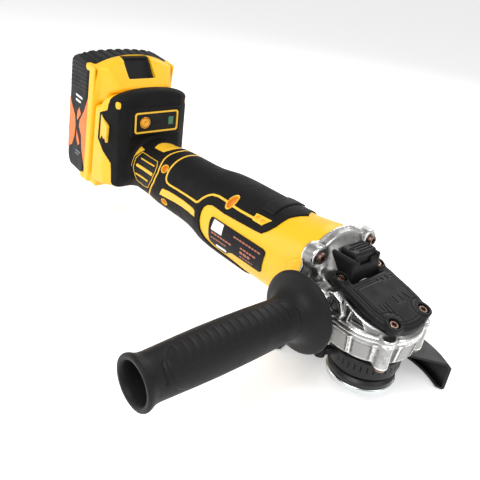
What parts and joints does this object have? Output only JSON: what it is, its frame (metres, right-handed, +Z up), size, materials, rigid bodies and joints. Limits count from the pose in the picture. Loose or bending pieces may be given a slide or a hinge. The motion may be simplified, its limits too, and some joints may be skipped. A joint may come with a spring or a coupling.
{
  "type": "angle grinder",
  "caption": "Cordless angle grinder with a sloped cast gear head, swivelling half guard, threaded side handle, slim grip and a slide-on battery on a tilted foot.",
  "frame": {"origin": "centre of the spindle's lower end face", "axes": "+X from the grip to the nose of the gear head, +Z up along the spindle, away from the wheel, +Y to the side opposite the side handle"},
  "size_m": [0.3815, 0.224, 0.1553],
  "materials": {
    "yellow_plastic": "satin moulded, fine texture",
    "soft_black": "matte soft-touch overmould",
    "label_black": "printed foil",
    "black_plastic": "fine spark-eroded texture",
    "green_lens": "clear tinted",
    "orange_plastic": "satin",
    "plain_steel": "ground",
    "zinc_steel": "bright zinc plated",
    "blackened_steel": "blackened",
    "screw_steel": "dark bronze coated",
    "guard_black": "powder coated",
    "cast_aluminium": "die cast, polished edges",
    "gasket_rubber": "matte",
    "bronze": "sintered",
    "laminated_iron": "laminated",
    "copper_wire": "enamelled copper",
    "circuit_green": "lacquered",
    "cell_wrap": "shrink wrap"
  },
  "bodies": {
    "housing": {"housing_right": "yellow_plastic", "housing_left": "yellow_plastic", "overmould_right": "soft_black", "overmould_left": "soft_black", "foot_overmould": "soft_black", "housing_screws": "screw_steel", "rating_label": "label_black", "side_vents": "black_plastic", "indicator_panel": "black_plastic", "indicator_lens": "green_lens", "switch_module": "black_plastic", "controller_board": "circuit_green", "controller_heatsink": "cast_aluminium", "terminal_block": "black_plastic", "gear_case": "cast_aluminium", "gear_case_screws": "screw_steel", "bearing_box": "cast_aluminium", "bearing_box_screws": "screw_steel", "cover_gasket": "gasket_rubber", "top_cover": "black_plastic", "cover_screws": "screw_steel", "spindle_lock_guide": "black_plastic", "lock_spring": "plain_steel", "spindle_bearing": "plain_steel", "spindle_bush": "bronze", "bearing_circlip": "plain_steel", "lever_pin": "plain_steel", "lever_spring": "plain_steel", "motor_front_bearing": "plain_steel", "motor_rear_bearing": "plain_steel", "stator_core": "laminated_iron", "stator_windings": "copper_wire", "fan_baffle": "black_plastic", "motor_end_cap": "black_plastic"},
    "rotor": {"rotor_shaft": "plain_steel", "rotor_core": "plain_steel", "cooling_fan": "black_plastic", "drive_pinion": "plain_steel"},
    "spindle_group": {"spindle": "plain_steel", "bevel_gear": "plain_steel", "inner_flange": "blackened_steel"},
    "clamp_nut": {"lock_nut": "zinc_steel"},
    "guard": {"wheel_guard": "guard_black"},
    "guard_lever": {"guard_release_lever": "black_plastic"},
    "spindle_lock": {"spindle_lock_button": "black_plastic", "spindle_lock_pin": "plain_steel"},
    "power_slide": {"slide_switch": "black_plastic", "switch_rod": "plain_steel"},
    "mode_button": {"indicator_button": "orange_plastic"},
    "side_handle": {"handle_grip": "soft_black", "handle_stud": "zinc_steel", "handle_washer": "zinc_steel"},
    "battery": {"battery_shell": "yellow_plastic", "battery_case": "black_plastic", "battery_cells": "cell_wrap", "battery_board": "circuit_green", "battery_contacts": "copper_wire", "battery_screws": "screw_steel", "button_spring": "plain_steel"},
    "battery_latch": {"battery_release_button": "black_plastic"}
  },
  "joints": [
    {"name": "spindle_spin", "type": "hinge", "parent": "housing", "child": "spindle_group", "pos_m": [0, 0, 0], "axis": [0, 0, 1], "continuous": true},
    {"name": "rotor_spin", "type": "hinge", "parent": "housing", "child": "rotor", "pos_m": [0, 0, 0.06], "axis": [1, 0, 0], "continuous": true},
    {"name": "clamp_nut_off", "type": "slide", "parent": "spindle_group", "child": "clamp_nut", "axis": [0, 0, -1], "range_m": [0, 0.012]},
    {"name": "guard_turn", "type": "hinge", "parent": "housing", "child": "guard", "pos_m": [0, 0, 0.02], "axis": [0, 0, 1], "range_deg": [-100, 120]},
    {"name": "guard_lever_press", "type": "hinge", "parent": "housing", "child": "guard_lever", "pos_m": [-0.015, -0.0275, 0.0258], "axis": [0, 0, 1], "range_deg": [0, 12], "stiffness_Nm_per_rad": 0.05, "springref_deg": -11.46},
    {"name": "spindle_lock_press", "type": "slide", "parent": "housing", "child": "spindle_lock", "axis": [0, 0, -1], "range_m": [0, 0.004], "stiffness_N_per_m": 600, "springref_m": -0.003, "deforming": ["lock_spring"]},
    {"name": "power_slide_on", "type": "slide", "parent": "housing", "child": "power_slide", "axis": [1, 0, 0], "range_m": [0, 0.006]},
    {"name": "mode_button_press", "type": "slide", "parent": "housing", "child": "mode_button", "axis": [-1, 0, 0], "range_m": [0, 0.001], "stiffness_N_per_m": 400, "springref_m": -0.0006},
    {"name": "side_handle_off", "type": "slide", "parent": "housing", "child": "side_handle", "axis": [0, -1, 0], "range_m": [0, 0.05]},
    {"name": "battery_off", "type": "slide", "parent": "housing", "child": "battery", "axis": [0.1201, 0, 0.9928], "range_m": [0, 0.1]},
    {"name": "battery_latch_press", "type": "slide", "parent": "battery", "child": "battery_latch", "axis": [-0.9505, 0, -0.3107], "range_m": [0, 0.0025], "stiffness_N_per_m": 500, "springref_m": -0.002}
  ],
  "couplings": [
    {"joint": "rotor_spin", "follows": "spindle_spin", "ratio": -3.0833}
  ]
}
